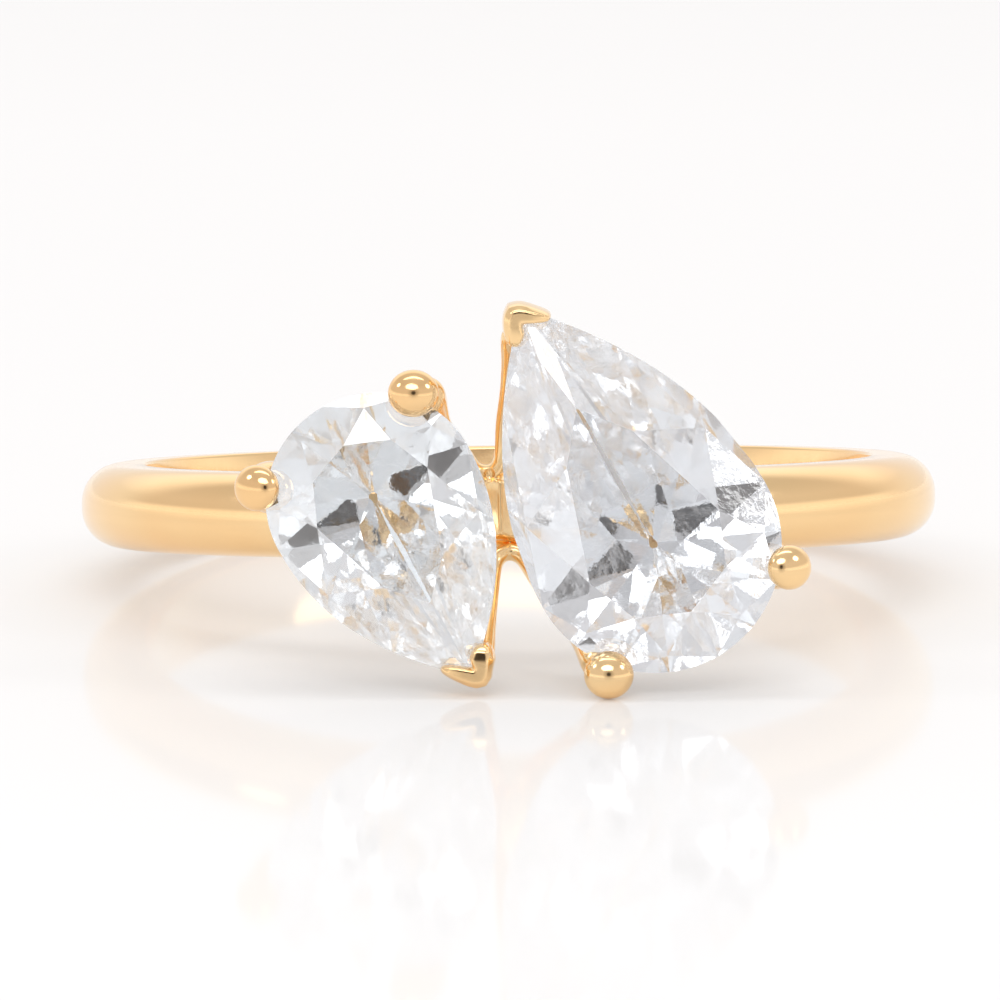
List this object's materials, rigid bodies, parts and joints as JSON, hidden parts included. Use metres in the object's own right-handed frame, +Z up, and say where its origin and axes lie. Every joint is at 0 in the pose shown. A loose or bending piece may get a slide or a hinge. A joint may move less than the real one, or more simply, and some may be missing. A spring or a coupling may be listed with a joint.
{
  "type": "toi et moi ring",
  "caption": "Yellow gold finger ring with pear cut stones set side by side, tip against round end, in ball and V prongs on a plain half-round shank.",
  "frame": {"origin": "middle of the footprint, on the surface that the ring lies on", "axes": "+Z up from that surface; -Y to the head, so that the tables of the stones face -Y; +X to the large stone's side"},
  "size_m": [0.0194, 0.0236, 0.0085],
  "materials": {
    "gold": "mirror polished yellow gold",
    "small_diamond": "polished facets",
    "large_diamond": "polished facets"
  },
  "bodies": {
    "root": {"mounting": "gold", "small_stone": "small_diamond", "large_stone": "large_diamond"}
  },
  "joints": []
}
